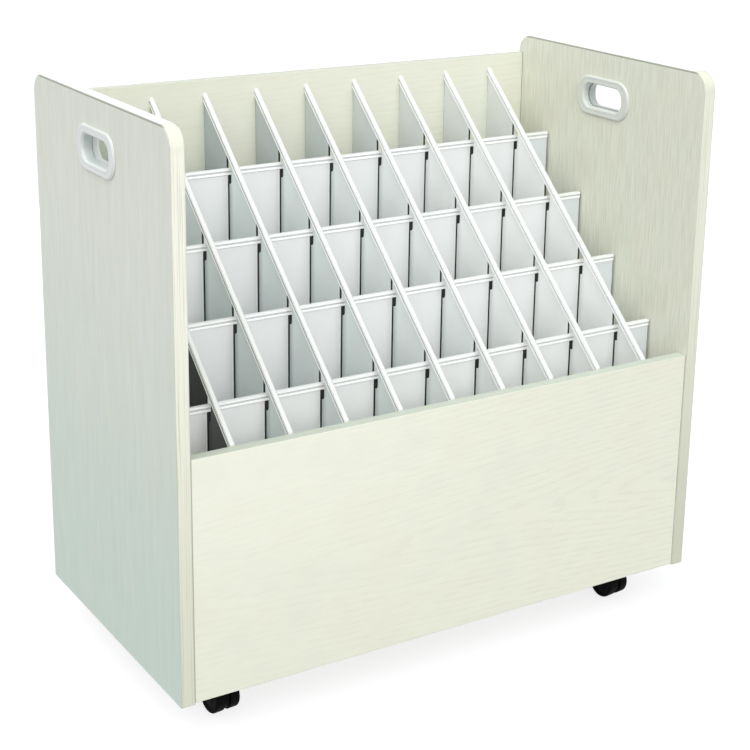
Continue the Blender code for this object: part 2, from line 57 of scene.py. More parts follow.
COLUMN_PITCH = 0.07635
BACK_ROW_Y = BACK_FACE_IN - 0.068
ROW_PITCH = (BACK_ROW_Y - FRONT_FACE_IN - 0.063) / 3
SLOPE_FRONT_Z = 0.3645
SLOPE_BACK_Z = 0.700
SLOPE = (SLOPE_BACK_Z - SLOPE_FRONT_Z) / (BACK_FACE_IN - FRONT_FACE_IN)
SLOPE_STRETCH = math.hypot(1, SLOPE)
CROSS_DROP = 0.0275
CROSS_END = INNER_HALF_WIDTH - 0.003

BOARD_THICKNESS = 0.003
BEAD_WIDTH = 0.0066
BEAD_HEIGHT = 0.0032
BEAD_ROUND = 0.0014
LEG_WALL = 0.0005
LIP_WALL = 0.0012
LIP_HEIGHT = 0.0032
CHANNEL_HEIGHT = 0.0085
CHANNEL_ROOF = 0.0016

HANDLE_Y = 0.002
HANDLE_Z = 0.680
HOLE_WIDTH = 0.080
HOLE_HEIGHT = 0.0325
HOLE_CORNER = 0.0145
FLANGE_REACH = 0.0112
FLANGE_STRETCH = 0.0044
FLANGE_CORNER_GAIN = 0.010
FLANGE_RISE = 0.0032
SLEEVE_WALL = 0.0016
SLEEVE_DRAFT = 0.0012
SLEEVE_RUN = 0.0175
OUTER_SLEEVE_SHARE = 0.62

WHEEL_RADIUS = 0.020
WHEEL_TRAIL = 0.017
WHEEL_INNER_X = 0.0035
WHEEL_OUTER_X = 0.017
WEB_THICKNESS = 0.006
WEB_RADIUS = 0.018
AXLE_RADIUS = 0.0025
AXLE_ENTRY = 0.009
HOOD_INNER_RADIUS = 0.0212
HOOD_OUTER_RADIUS = 0.0230
HOOD_HALF_WIDTH = 0.0178
HOOD_BACK_ANGLE = math.radians(-24)
HOOD_FRONT_ANGLE = math.radians(132)
BOSS_RADIUS = 0.0085
BOSS_DROP = 0.026
HOUSING_TOP_Z = 0.0537
PIN_RADIUS = 0.004
PIN_LENGTH = 0.0125
PLATE_BOTTOM_Z = 0.054
PLATE_HOLE_SPACING = 0.028
PEDAL_WIDTH = 0.022
PEDAL_LENGTH = 0.020
PEDAL_THICKNESS = 0.0026
BARREL_RADIUS = 0.0025
BARREL_SWEEP = math.radians(215)
STUB_RADIUS = 0.0014
EAR_RADIUS = 0.0038
EAR_THICKNESS = 0.0024
PIVOT_RADIUS = HOOD_OUTER_RADIUS + BARREL_RADIUS + FIT_GAP
PIVOT_ANGLE = math.radians(120)
SHOE_ANGLE = math.radians(146)
SHOE_GAP = 0.0027
SHOE_THICKNESS = 0.003
PEDAL_DIP = math.radians(24)
CASTERS = [
    ("front_left", -0.305, -0.121, math.radians(5), False),
    ("front_right", 0.305, -0.121, math.radians(6), False),
    ("rear_left", -0.305, 0.121, math.radians(7), True),
    ("rear_right", 0.305, 0.121, math.radians(-14), True),
]


def add_object(name, data):
    """A new object in the scene, at the origin."""
    item = bpy.data.objects.new(name, data)
    bpy.context.scene.collection.objects.link(item)
    return item


# ---------------------------------------------------------------- nodes

class Value:
    """A socket that adds up like a number: each operator adds its Math node."""

    def __init__(self, graph, socket):
        self.graph = graph
        self.socket = socket

    def maths(self, operation, *values):
        return self.graph.node("ShaderNodeMath", {"operation": operation}, dict(enumerate(values)))

    def __add__(self, other):
        return self.maths("ADD", self, other)

    def __radd__(self, other):
        return self.maths("ADD", other, self)

    def __sub__(self, other):
        return self.maths("SUBTRACT", self, other)

    def __rsub__(self, other):
        return self.maths("SUBTRACT", other, self)

    def __mul__(self, other):
        return self.maths("MULTIPLY", self, other)

    def __rmul__(self, other):
        return self.maths("MULTIPLY", other, self)

    def __truediv__(self, other):
        return self.maths("DIVIDE", self, other)

    def __pow__(self, other):
        return self.maths("POWER", self, other)

    def __neg__(self):
        return self.maths("MULTIPLY", self, -1)

    def size(self):
        return self.maths("ABSOLUTE", self)

    def sine(self):
        return self.maths("SINE", self)

    def above(self, edge, soft):
        """1 where the value is past an edge, 0 before it, and a ramp of the given width between."""
        return self.graph.node("ShaderNodeMapRange", {"interpolation_type": "SMOOTHSTEP", "clamp": True},
                               {"Value": self, "From Min": edge - soft / 2, "From Max": edge + soft / 2,
                                "To Min": 0, "To Max": 1})

    def below(self, edge, soft):
        return 1 - self.above(edge, soft)

    def between(self, low, high, soft):
        return self.above(low, soft) * self.below(high, soft)

    def largest(self, other):
        return self.maths("MAXIMUM", self, other)

    def nearest(self):
        return self.maths("ROUND", self)


class Graph:
    """A node tree, for a material or for geometry."""

    def __init__(self, tree):
        self.tree = tree

    def node(self, kind, settings=None, sockets=None, out=0):
        """One node: its type, its settings, then the values or links of its sockets, by name or by number."""
        made = self.tree.nodes.new(kind)
        for name, setting in (settings or {}).items():
            setattr(made, name, setting)
        named = {socket.name: socket for socket in reversed(made.inputs) if socket.enabled}
        for name, value in (sockets or {}).items():
            socket = made.inputs[name] if isinstance(name, int) else named[name]
            for one in value if isinstance(value, list) else [value]:
                if isinstance(one, Value):
                    self.tree.links.new(one.socket, socket)
                else:
                    socket.default_value = one
        outputs = [Value(self, socket) for socket in made.outputs if socket.enabled]
        if out is None:
            return outputs
        first = outputs[0] if outputs else made
        return next((output for output in outputs if output.socket.name == out), first)

    def seen_straight(self):
        """1 for what the camera, a gloss or a clear piece sees, and 0 for what light meets."""
        camera, glossy, through = (self.node("ShaderNodeLightPath", out=name)
                                   for name in ("Is Camera Ray", "Is Glossy Ray", "Is Transmission Ray"))
        return camera.largest(glossy).largest(through)


class Finish(Graph):
    """A material of this object, on Blender's main shader."""

    def __init__(self, name, colour, roughness, **constants):
        self.material = bpy.data.materials.new(name)
        self.material.use_nodes = True
        super().__init__(self.material.node_tree)
        self.shader = self.tree.nodes["Principled BSDF"]
        self.shader.inputs["Base Color"].default_value = (*colour, 1)
        self.shader.inputs["Roughness"].default_value = roughness
        for name, value in constants.items():
            self.shader.inputs[name.replace("_", " ")].default_value = value
        self.material.diffuse_color = (*colour, 1)

    def set(self, socket, value):
        self.tree.links.new(value.socket, self.shader.inputs[socket])

    def place(self):
        """Where a point lies on the object, in metres: three numbers."""
        where = self.node("ShaderNodeTexCoord", out="Object")
        return self.node("ShaderNodeSeparateXYZ", None, {0: where}, out=None)

    def spot(self, x, y, z):
        return self.node("ShaderNodeCombineXYZ", None, {0: x, 1: y, 2: z})

    def noise(self, x, y, z, detail=2.0, roughness=0.5):
        """Cloudy values about 0.5, one cloud to each unit."""
        return self.node("ShaderNodeTexNoise", {"noise_dimensions": "3D"},
                         {"Vector": self.spot(x, y, z), "Scale": 1.0, "Detail": detail, "Roughness": roughness})

    def mix(self, share, first, second):
        """A colour between two, by a share."""
        first, second = (c if isinstance(c, Value) else (*c, 1) for c in (first, second))
        return self.node("ShaderNodeMix", {"data_type": "RGBA", "clamp_factor": True},
                         {"Factor": share, "A": first, "B": second}, out="Result")

    def bump(self, height, strength, distance):
        self.set("Normal", self.node("ShaderNodeBump", None,
                                     {"Strength": strength, "Distance": distance, "Height": height}))


class Pattern(Graph):
    """A geometry tree with named inputs, which is run on a small mesh and leaves a plain piece."""

    KINDS = {"number": "NodeSocketFloat", "count": "NodeSocketInt", "vector": "NodeSocketVector",
             "finish": "NodeSocketMaterial"}

    def __init__(self, name, **inputs):
        super().__init__(bpy.data.node_groups.new(name, "GeometryNodeTree"))
        face = self.tree.interface
        face.new_socket("Geometry", in_out="INPUT", socket_type="NodeSocketGeometry")
        for label, kind in inputs.items():
            face.new_socket(label, in_out="INPUT", socket_type=self.KINDS[kind])
        face.new_socket("Geometry", in_out="OUTPUT", socket_type="NodeSocketGeometry")
        start = self.tree.nodes.new("NodeGroupInput")
        self.given = {socket.name: Value(self, socket) for socket in start.outputs if socket.name}

    def end(self, geometry):
        """Make every copy real, coat it and hand it out."""
        real = self.node("GeometryNodeRealizeInstances", None, {"Geometry": geometry})
        coated = self.node("GeometryNodeSetMaterial", None, {"Geometry": real, "Material": self.given["finish"]})
        self.tree.links.new(coated.socket, self.tree.nodes.new("NodeGroupOutput").inputs[0])

    def run(self, base, **values):
        """The mesh that the tree makes of a base mesh with these sizes."""
        item = add_object("base", base)
        step = item.modifiers.new("pattern", "NODES")
        step.node_group = self.tree
        for socket in self.tree.interface.items_tree:
            if socket.in_out == "INPUT" and socket.name in values:
                step[socket.identifier] = values[socket.name]
        made = bpy.data.meshes.new_from_object(item.evaluated_get(bpy.context.evaluated_depsgraph_get()))
        item.modifiers.remove(step)
        bpy.data.objects.remove(item)
        return made


def srgb(red, green, blue):
    """A colour as a monitor shows it, in the linear values that a shader takes."""
    values = [channel / 255 for channel in (red, green, blue)]
    return tuple(value / 12.92 if value <= 0.04045 else ((value + 0.055) / 1.055) ** 2.4 for value in values)


def slope_z(y):
    """Height of the sloping channels' crest."""
    return SLOPE_FRONT_Z + SLOPE * (y - FRONT_FACE_IN)


# ---------------------------------------------------------------- finishes

CREAM = srgb(240, 241, 226)
# Painted light: the side panels' outer faces are cooler than the inner ones, and painted shade makes them darker and
# greener towards the foot
OUTER_CREAM_COOL_LIT = srgb(242, 245, 237)
OUTER_FOOT_SHADE = srgb(212, 228, 218)
# Painted light: the front panel's cream is lighter than the back panel's
FRONT_CREAM_LIT = srgb(247, 248, 232)
GRAIN = srgb(222, 222, 204)
GRAIN_FOOT_SHADE = srgb(198, 214, 203)
BAND = srgb(251, 251, 236)
BAND_STREAK_AND_SHADE = srgb(208, 210, 190)
WARM_TINT = srgb(236, 226, 208)
GREEN_TINT = srgb(215, 231, 214)
TOP_BAND = srgb(198, 206, 192)
TOP_BAND_PLY = srgb(204, 210, 197)
TOP_HIGHLIGHT_WHITE = srgb(252, 253, 249)
SEAM = srgb(150, 155, 140)
CROSS_FACE = srgb(243, 244, 244)
CROSS_MOTTLE = srgb(233, 236, 236)
CROSS_END_SHADE = srgb(228, 234, 239)
# Painted light: the sloping boards lighter than the cross boards, and painted shade makes them darker and cooler to the
# left
SLOPE_FACE = srgb(254, 255, 253)
SLOPE_FACE_SHADED_LEFT = srgb(232, 240, 239)
SLOPE_MOTTLE = srgb(246, 248, 246)
SLOPE_MOTTLE_SHADED_LEFT = srgb(221, 230, 229)
# The boards' dark core, also used for painted shade in the gaps and slots and a painted shadow on the outermost board
BOARD_CORE_AND_SHADE = srgb(22, 26, 26)
CORNER_SHADE = srgb(112, 124, 122)
REAR_SHADE = srgb(140, 152, 154)
LIP_SHADE = srgb(150, 158, 160)
CHANNEL = srgb(238, 239, 238)
CHANNEL_DRAW = srgb(231, 233, 231)
HIGHLIGHT_WHITE = srgb(254, 255, 254)
GROOVE = srgb(216, 220, 220)
GROOVE_SHADED_LEFT = srgb(164, 171, 171)
BEAD_EDGE_SHADE = srgb(196, 200, 198)
BEZEL_PLAIN = srgb(243, 245, 243)
BEZEL = srgb(241, 244, 242)
BEZEL_SHADED_RIGHT = srgb(226, 229, 221)
BEZEL_FLOW = srgb(226, 230, 227)
SLEEVE_SHADE = srgb(176, 190, 190)
SLEEVE_SEAM = srgb(96, 106, 108)

# Where the finishes lie, in metres
GRAIN_HEART_Z = 0.19
FOOT_SHADE_Z = 0.38
JOINT_LINE = 0.0012
TOP_LINE = 0.0022
GAP_START = 0.0018
GAP_GAIN_LEFT = 0.0007
GAP_END = 0.0042
GAP_HIGHLIGHT_EDGE = 0.0018
CORNER_SOFT = 0.0090
CORNER_NEAR = 0.0032


def upright_grain(skin, x, y, z):
    """Side panels: upright hairs, faint outside and stronger inside; the outer face is painted cooler, and painted
    shade makes it darker and greener towards the foot.
    """
    inner = x.size().below(WIDTH / 2 - EASED_EDGE, 0.0004)
    # painted shade: the outer face and its grain turn darker and greener towards the foot
    low = z.below(FOOT_SHADE_Z, 0.60)
    sway = (skin.noise(x * 3, y * 20, z * 7) - 0.5) * 0.006
    comb = skin.noise(x * 30, (y + sway) * 430, z * 20, 3, 0.62)
    wide = skin.noise(x * 30 + 7, (y + sway) * 130, z * 14, 2)
    patch = skin.noise(x * 9 + 3, y * 20, z * 13, 2, 0.6)
    figure = (comb - 0.5) * (0.34 + inner * 2.9) + (wide - 0.5) * (0.75 - inner * 0.20)
    pale = skin.mix(inner, skin.mix(low, OUTER_CREAM_COOL_LIT, OUTER_FOOT_SHADE), CREAM)
    vein = skin.mix(low * (1 - inner), GRAIN, GRAIN_FOOT_SHADE)
    return pale, vein, figure, (patch - 0.5) * (0.46 + inner * 0.20), comb


def level_grain(skin, x, y, z):
    """Front, back and bottom panels: level hairs that ring about a heart; painted light makes the front lighter than
    the back and lighter at its upper left, and the back lighter to the right and darker to the left.
    """
    sway = (skin.noise(x * 2.6, y * 8, z * 9, 1.5) - 0.5) * 0.030
    ring = ((z - GRAIN_HEART_Z) * (z - GRAIN_HEART_Z) + 0.0006) ** 0.5 - x * 0.07 + sway
    comb = skin.noise(x * 12, y * 30, z * 250 + ring * 40, 2, 0.6)
    dash = skin.noise(x * 36, y * 30 + 5, z * 360 + ring * 60, 2)
    patch = skin.noise(x * 12, y * 9, z * 14, 2, 0.6)
    ragged = (skin.noise(x * 6, y * 9 + 3, z * 60, 2) - 0.5) * 4.0
    line = (ring * 800 + ragged).sine().above(0.55, 0.7) * dash.above(0.47, 0.2)
    front, left = y.below(0, 0.1), x.below(-0.02, 0.6)
    # painted light and shade: the front lighter at its upper left, the back lighter to the right and darker to the left
    lighter = front * left * z.above(0.23, 0.26) * 0.34 + (1 - front) * (0.20 - left * left * 0.42)
    figure = (comb - 0.5) * 0.30 + (dash - 0.5) * 0.20 + line * (0.07 + (1 - left) * 0.11) - lighter
    return skin.mix(y.above(0, 0.1), FRONT_CREAM_LIT, CREAM), GRAIN, figure, (patch - 0.5) * 0.46, comb


def side_panel_edges(skin, x, y, z):
    """Where a side panel is banded, the streaked band, with painted shade that darkens it towards the bottom, a little
    darker also on the right panel and near the top corner, a painted highlight that whitens its top, and the fine lines
    along its edges.
    """
    across = x.size()
    band = across.between(INNER_HALF_WIDTH + EASED_EDGE * 0.7, WIDTH / 2 - EASED_EDGE * 0.7, 0.0003)
    drift = (skin.noise(x * 4, y * 6, z * 11, 1) - 0.5) * 0.0030
    ply = skin.noise((across + drift) * 760, y * 5, z * 4, 2, 0.7)
    edge = skin.mix((ply - 0.53) * 7.5, BAND, BAND_STREAK_AND_SHADE)
    # painted shade: the band darker towards the bottom, and darker on the right panel
    edge = skin.mix(z.below(0.32, 0.62) * 0.68 + x.above(0, 0.1) * 0.28, edge, BAND_STREAK_AND_SHADE)
    # a little darker near the top corner
    edge = skin.mix(z.above(TOP_Z - TOP_CORNER * 0.9, TOP_CORNER) * 0.40, edge, BAND_STREAK_AND_SHADE)
    from_corner = y.size() - (DEPTH / 2 - TOP_CORNER)
    # painted highlight: the band along the top is near white and without streaks
    edge = skin.mix(from_corner.below(-0.0004, 0.0004), edge, TOP_HIGHLIGHT_WHITE)
    joint = from_corner.between(-0.0008, 0.0004, 0.0003) * z.above(TOP_Z - 0.01, 0.001)
    edge = skin.mix(joint * 0.6, edge, SEAM)
    outer_arris = across.between(WIDTH / 2 - EASED_EDGE * 1.4, WIDTH / 2 - EASED_EDGE * 0.2, 0.0003)
    inner_arris = across.between(INNER_HALF_WIDTH + EASED_EDGE * 0.2, INNER_HALF_WIDTH + EASED_EDGE * 1.2, 0.0003)
    from_middle = (across - (INNER_HALF_WIDTH + SIDE_THICKNESS / 2)).size()
    top_line = from_middle.above(SIDE_THICKNESS / 2 - EASED_EDGE * 2, 0.0004) * z.above(TOP_Z - TOP_LINE, 0.0006)
    return band, edge, (outer_arris.largest(inner_arris) * 0.45).largest(top_line * 0.8)


def flat_panel_edges(skin, x, y, z):
    """Where the front and back panels are banded, their band, and the joint lines beside the side panels."""
    band = z.above(FRONT_TOP_Z - 0.0004, 0.0004) * y.below(0, 0.1) + z.above(BACK_TOP_Z - 0.0004, 0.0004)
    ply = skin.noise(x * 6, y * 500, z * 10, 2, 0.6)
    seam = x.size().above(INNER_HALF_WIDTH - JOINT_LINE, 0.0008) * 0.65
    return band, skin.mix(ply, TOP_BAND, TOP_BAND_PLY), seam


def panel_coat(name, grain, edges):
    """Cream wood-pattern laminate with banded edges and a fine emboss."""
    skin = Finish(name, CREAM, 0.46)
    place = skin.place()
    pale, vein, figure, warm, comb = grain(skin, *place)
    colour = skin.mix(figure + 0.30, pale, vein)
    colour = skin.mix(warm, colour, WARM_TINT)
    colour = skin.mix(-warm, colour, GREEN_TINT)
    band, edge, seam = edges(skin, *place)
    skin.set("Base Color", skin.mix(seam, skin.mix(band, colour, edge), SEAM))
    skin.set("Roughness", 0.44 + (comb - 0.5) * 0.16)
    skin.bump(comb, 0.06, 0.0003)
    return skin.material


def grid_place(skin, crosswise):
    """On the grid: metres from the nearest crossing, from the board's own middle, and below its channel's crest."""
    x, y, z = skin.place()
    from_column = x - (x / COLUMN_PITCH).nearest() * COLUMN_PITCH
    row_y = BACK_ROW_Y - ((BACK_ROW_Y - y) / ROW_PITCH).nearest() * ROW_PITCH
    if crosswise:
        return from_column, y - row_y, slope_z(row_y) - CROSS_DROP - z
    return y - row_y, from_column, (slope_z(y) - z) / SLOPE_STRETCH


def board_coat(name, crosswise):
    """Matt grey-white faced board with a faint mottle, dark in its cut edges, which also paints the shade in its slots;
    painted shade in the gap at each crossing with a painted highlight beside it, and painted shade under its channel,
    in its corners and to the left and rear.
    """
    skin = Finish(name, CROSS_FACE, 0.62)
    x, y, z = skin.place()
    leftward = x.below(0, 0.62)
    if crosswise:
        face, mottle = CROSS_FACE, CROSS_MOTTLE
    else:
        # painted light and shade: the sloping boards lighter than the cross boards, darker and cooler to the left
        face = skin.mix(leftward, SLOPE_FACE, SLOPE_FACE_SHADED_LEFT)
        mottle = skin.mix(leftward, SLOPE_MOTTLE, SLOPE_MOTTLE_SHADED_LEFT)
    speck = skin.noise(x * 900, y * 900, z * 900, 2)
    cloud = skin.noise(x * 26, y * 26, z * 20, 2)
    colour = skin.mix((speck - 0.5) * 0.7 + (cloud - 0.5) * 0.8 + 0.35, face, mottle)
    along, across, below = grid_place(skin, crosswise)
    # painted shadow: a grey line on the board just under its channel's lip
    shade_height, shade = (0.0009, 0.40) if crosswise else (0.0013, 0.85)
    foot = below.between(CHANNEL_HEIGHT - 0.0002, CHANNEL_HEIGHT + shade_height, 0.0005)
    colour = skin.mix(foot * shade, colour, LIP_SHADE)
    dark = across.size().below(BOARD_THICKNESS / 2 - 0.0001, 0.0001)
    if crosswise:
        # painted shade: the cross boards' ends beyond the last divider cooler and darker
        colour = skin.mix(x.above(4.06 * COLUMN_PITCH, 0.02) * 0.8, colour, CROSS_END_SHADE)
        # painted shade: a dark strip on the cross board in the gap at each crossing, and a painted highlight, a white
        # line, beside it
        reach = leftward * -GAP_GAIN_LEFT - GAP_START
        colour = skin.mix(along.between(reach - GAP_HIGHLIGHT_EDGE, reach, 0.0006), colour, HIGHLIGHT_WHITE)
        dark = dark.largest(along.between(reach, GAP_END, 0.0003))
    else:
        # painted shade on the sloping boards: darker in the rear row, more to the left, and in the front row to the
        # right, with soft darkening beside each crossing
        corner = along.below(0.0003, 0.0004)
        outermost = x.below(-4 * COLUMN_PITCH - BOARD_THICKNESS / 2 + 0.0003, 0.0003)
        last_row, last_two_rows = (y.below(BACK_ROW_Y - rows * ROW_PITCH, 0.002) for rows in (3, 2))
        rear = y.above(BACK_ROW_Y, 0.002) * (0.16 + leftward * 0.42) * (1 - outermost)
        colour = skin.mix(rear + last_row * (1 - leftward) * 0.14, colour, REAR_SHADE)
        soft = corner * along.above(-CORNER_SOFT, CORNER_SOFT * 2) * (0.25 + leftward * 0.35)
        colour = skin.mix(soft, colour, CORNER_SHADE)
        colour = skin.mix(corner * along.above(-CORNER_NEAR, 0.0010) * 0.55, colour, CORNER_SHADE)
        # painted shadow: the outermost board's left face near black in the two front rows
        colour = skin.mix(outermost * (last_two_rows * 0.94 - last_row * 0.05), colour, BOARD_CORE_AND_SHADE)
    skin.set("Base Color", skin.mix(dark, colour, BOARD_CORE_AND_SHADE))
    skin.set("Roughness", 0.60 + speck * 0.10)
    skin.bump(speck, 0.08, 0.0002)
    return skin.material


def channel_coat(name, crosswise):
    """White extruded plastic with faint draw lines, with painted shade in the groove between bead and lip, deeper to
    the left, and along the bead's right edge, and a painted highlight with a faint glow on the lips and flanks.
    """
    # the emission is a painted glow on the lips and flanks
    skin = Finish(name, CHANNEL, 0.33, Emission_Strength=0.13)
    x, y, z = skin.place()
    _, across, below = grid_place(skin, crosswise)
    draw = skin.noise(x * 60, y * 60, z * 1800, 2)
    colour = skin.mix(draw, CHANNEL, CHANNEL_DRAW)
    groove = below.between(BEAD_HEIGHT - 0.0002, CHANNEL_HEIGHT - LIP_HEIGHT + 0.0002, 0.0003)
    # painted highlight: the lips and flanks white, and glowing faintly
    highlight = below.above(0.0012, 0.0008) - groove
    colour = skin.mix(highlight, colour, HIGHLIGHT_WHITE)
    # painted shade in the groove, deeper to the left, and a grey line along the bead's right edge
    if crosswise:
        colour = skin.mix(groove, colour, GROOVE)
    else:
        colour = skin.mix(groove, colour, skin.mix(x.below(0, 0.62), GROOVE, GROOVE_SHADED_LEFT))
        right_edge = across.above(BEAD_WIDTH / 2 - 0.0012, 0.0004) * below.below(0.0016, 0.0006)
        colour = skin.mix(right_edge, colour, BEAD_EDGE_SHADE)
    skin.set("Base Color", colour)
    skin.set("Emission Color", skin.mix(highlight, (0, 0, 0), (1, 1, 1)))
    skin.set("Roughness", 0.30 + draw * 0.10)
    return skin.material


def bezel_coat():
    """White moulded plastic with a faint pearl of its mould, with painted shade on the right-hand bezels and inside the
    sleeves.
    """
    skin = Finish("handle_bezel_white", BEZEL_PLAIN, 0.28)
    x, y, z = skin.place()
    grain = skin.noise(x * 1500, y * 1500, z * 1500, 2)
    flow = skin.noise(x * 70, y * 70, z * 70, 1)
    # painted shade: the right-hand bezels darker and warmer
    colour = skin.mix(x.above(0, 0.1), BEZEL, BEZEL_SHADED_RIGHT)
    colour = skin.mix(flow * 0.5, colour, BEZEL_FLOW)
    depth = x.size()
    inside = depth.between(INNER_HALF_WIDTH + 0.0006, WIDTH / 2 - 0.0006, 0.0012)
    joint = INNER_HALF_WIDTH + SLEEVE_RUN * (1 - OUTER_SLEEVE_SHARE)
    outer_half = depth.above(joint, 0.0004)
    # painted shade inside the sleeve, deeper on its outer half
    colour = skin.mix(inside * (0.12 + outer_half * 0.28), colour, SLEEVE_SHADE)
    seam = depth.between(joint - 0.0004, joint + 0.0010, 0.0004) * (0.8 - x.above(0, 0.1) * 0.4)
    colour = skin.mix(seam, colour, SLEEVE_SEAM)
    skin.set("Base Color", colour)
    skin.set("Roughness", 0.24 + grain * 0.12)
    skin.bump(grain, 0.04, 0.0001)
    return skin.material


def moulding_coat(name, colour, roughness):
    """Black moulded plastic, finely sparked, a little greyer where it has been rubbed."""
    skin = Finish(name, colour, roughness, Specular_IOR_Level=0.05)
    x, y, z = skin.place()
    spark = skin.noise(x * 2600, y * 2600, z * 2600, 2)
    rub = skin.noise(x * 120, y * 120, z * 120, 3)
    lifted = tuple(channel * 1.9 + 0.001 for channel in colour)
    skin.set("Base Color", skin.mix((rub - 0.45) * 2.2, colour, lifted))
    skin.set("Roughness", roughness - 0.06 + rub * 0.14)
    skin.bump(spark, 0.10, 0.0001)
    return skin.material


def steel_coat():
    """Zinc-plated steel, in small pale spangles."""
    skin = Finish("zinc_plated_steel", (0.60, 0.61, 0.62), 0.34, Metallic=1.0)
    x, y, z = skin.place()
    spangle = skin.noise(x * 420, y * 420, z * 420, 3, 0.6)
    skin.set("Base Color", skin.mix(spangle, (0.52, 0.53, 0.55), (0.70, 0.71, 0.71)))
    skin.set("Roughness", 0.26 + spangle * 0.18)
    skin.bump(spangle, 0.05, 0.0001)
    return skin.material


UPRIGHT_LAMINATE = panel_coat("laminate_grain_upright", upright_grain, side_panel_edges)
LEVEL_LAMINATE = panel_coat("laminate_grain_level", level_grain, flat_panel_edges)
SLOPING_BOARD = board_coat("sloping_board_face", False)
CROSS_BOARD = board_coat("cross_board_face", True)
SLOPING_CHANNEL = channel_coat("sloping_channel_white", False)
CROSS_CHANNEL = channel_coat("cross_channel_white", True)
BEZEL_WHITE = bezel_coat()
BLACK_MOULDING = moulding_coat("black_moulding", (0.0010, 0.0010, 0.0012), 0.52)
BLACK_WHEEL = moulding_coat("black_wheel", (0.0014, 0.0014, 0.0017), 0.56)
ZINC_STEEL = steel_coat()


# ---------------------------------------------------------------- shapes

def arc(centre, radius, start, end, steps):
    """Points on an arc, both ends included."""
    turns = [start + (end - start) * step / steps for step in range(steps + 1)]
    return [(centre[0] + radius * math.cos(turn), centre[1] + radius * math.sin(turn)) for turn in turns]


def skin_over(loops, joined=False):
    """Faces over loops of as many points each, with a face on both ends, or joined into a ring."""
    data = bmesh.new()
    rings = [[data.verts.new(point) for point in loop] for loop in loops]
    pairs = list(zip(rings, rings[1:])) + ([(rings[-1], rings[0])] if joined else [])
    for ring, following in pairs:
        for here in range(len(ring)):
            there = (here + 1) % len(ring)
            data.faces.new((ring[here], ring[there], following[there], following[here]))
    if not joined:
        data.faces.new(rings[0])
        data.faces.new(rings[-1])
    return data


def turned(profile, steps):
    """A profile of (along, radius) points turned about X, with a flat face on both ends."""
    turns = [2 * math.pi * step / steps for step in range(steps)]
    return skin_over([[(along, radius * math.cos(turn), radius * math.sin(turn)) for turn in turns]
                      for along, radius in profile])


def to_mesh(data, name, place=None, sharp=30):
    """Close a bmesh into a mesh at its place, faces out, smooth but for its edges."""
    if place is not None:
        data.transform(place)
    bmesh.ops.recalc_face_normals(data, faces=data.faces[:])
    mesh = bpy.data.meshes.new(name)
    data.to_mesh(mesh)
    data.free()
    mesh.shade_smooth()
    mesh.set_sharp_from_angle(angle=math.radians(sharp))
    return mesh


def add_piece(name, mesh, material, body, nodes):
    """Put a finished mesh on its body, in the place of its solids."""
    mesh.materials.clear()
    mesh.materials.append(material)
    item = add_object(name, mesh)
    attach(item, body)
    if nodes:
        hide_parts(*nodes)


def rounded(points, radius, steps):
    """An outline in which each corner with a radius is rounded. Points are (u, v, share of the radius)."""
    found = []
    for index, (u, v, share) in enumerate(points):
        if share == 0:
            found.append((u, v))
            continue
        here = Vector((u, v))
        before = (Vector(points[index - 1][:2]) - here).normalized()
        after = (Vector(points[(index + 1) % len(points)][:2]) - here).normalized()
        half = before.angle(after) / 2
        reach = radius * share / math.tan(half)
        start, end = here + before * reach, here + after * reach
        middle = here + (before + after).normalized() * (radius * share / math.sin(half))
        first, last = (math.atan2(spot[1] - middle[1], spot[0] - middle[0]) for spot in (start, end))
        last = first + (last - first + math.pi) % (2 * math.pi) - math.pi
        found += arc(middle, radius * share, first, last, steps)
    return found


# ---------------------------------------------------------------- edge channels

def channel_outline():
    """The edge channel in section: a round bead, a neck on each side of the board, and a lip at the foot."""
    bead = BEAD_WIDTH / 2
    inner = BOARD_THICKNESS / 2 + FIT_GAP
    neck = inner + LEG_WALL
    lip = inner + LIP_WALL
    lip_top = CHANNEL_HEIGHT - LIP_HEIGHT
    small = 0.25
    tiny = 0.12
    right = [(inner, CHANNEL_HEIGHT, 0), (lip, CHANNEL_HEIGHT, small), (lip, lip_top, small), (neck, lip_top, 0),
             (neck, BEAD_HEIGHT, 0), (bead, BEAD_HEIGHT, small), (bead, 0, 1)]
    left = [(-across, below, share) for across, below, share in reversed(right)]
    whole = right + left + [(-inner, CHANNEL_ROOF, tiny), (inner, CHANNEL_ROOF, tiny)]
    return rounded(whole, BEAD_ROUND, 5)


def channel_pattern():
    """A tree that pushes a section along its run and repeats it at even steps."""
    tree = Pattern("edge_channels", run="vector", step="vector", count="count", finish="finish")
    face = tree.given["Geometry"]
    pushed = tree.node("GeometryNodeExtrudeMesh", {"mode": "FACES"},
                       {"Mesh": face, "Offset": tree.given["run"], "Offset Scale": 1.0, "Individual": False},
                       out="Mesh")
    foot = tree.node("GeometryNodeFlipFaces", None, {"Mesh": face})
    both = tree.node("GeometryNodeJoinGeometry", None, {"Geometry": [pushed, foot]})
    whole = tree.node("GeometryNodeMergeByDistance", None, {"Geometry": both, "Distance": 0.000001})
    rank = tree.node("GeometryNodeMeshLine", {"mode": "OFFSET"},
                     {"Count": tree.given["count"], "Start Location": (0, 0, 0), "Offset": tree.given["step"]})
    tree.end(tree.node("GeometryNodeInstanceOnPoints", None, {"Points": rank, "Instance": whole}, out="Instances"))
    return tree


def section_face(points, run):
    """The section as one face that looks along its run."""
    data = bmesh.new()
    face = data.faces.new([data.verts.new(point) for point in points])
    face.normal_update()
    if face.normal.dot(Vector(run)) < 0:
        face.normal_flip()
    mesh = bpy.data.meshes.new("section")
    data.to_mesh(mesh)
    data.free()
    return mesh


def settle(mesh, sharp=30):
    """A mesh that a tree has made, with its faces out and its edges marked."""
    data = bmesh.new()
    data.from_mesh(mesh)
    return to_mesh(data, mesh.name, None, sharp)


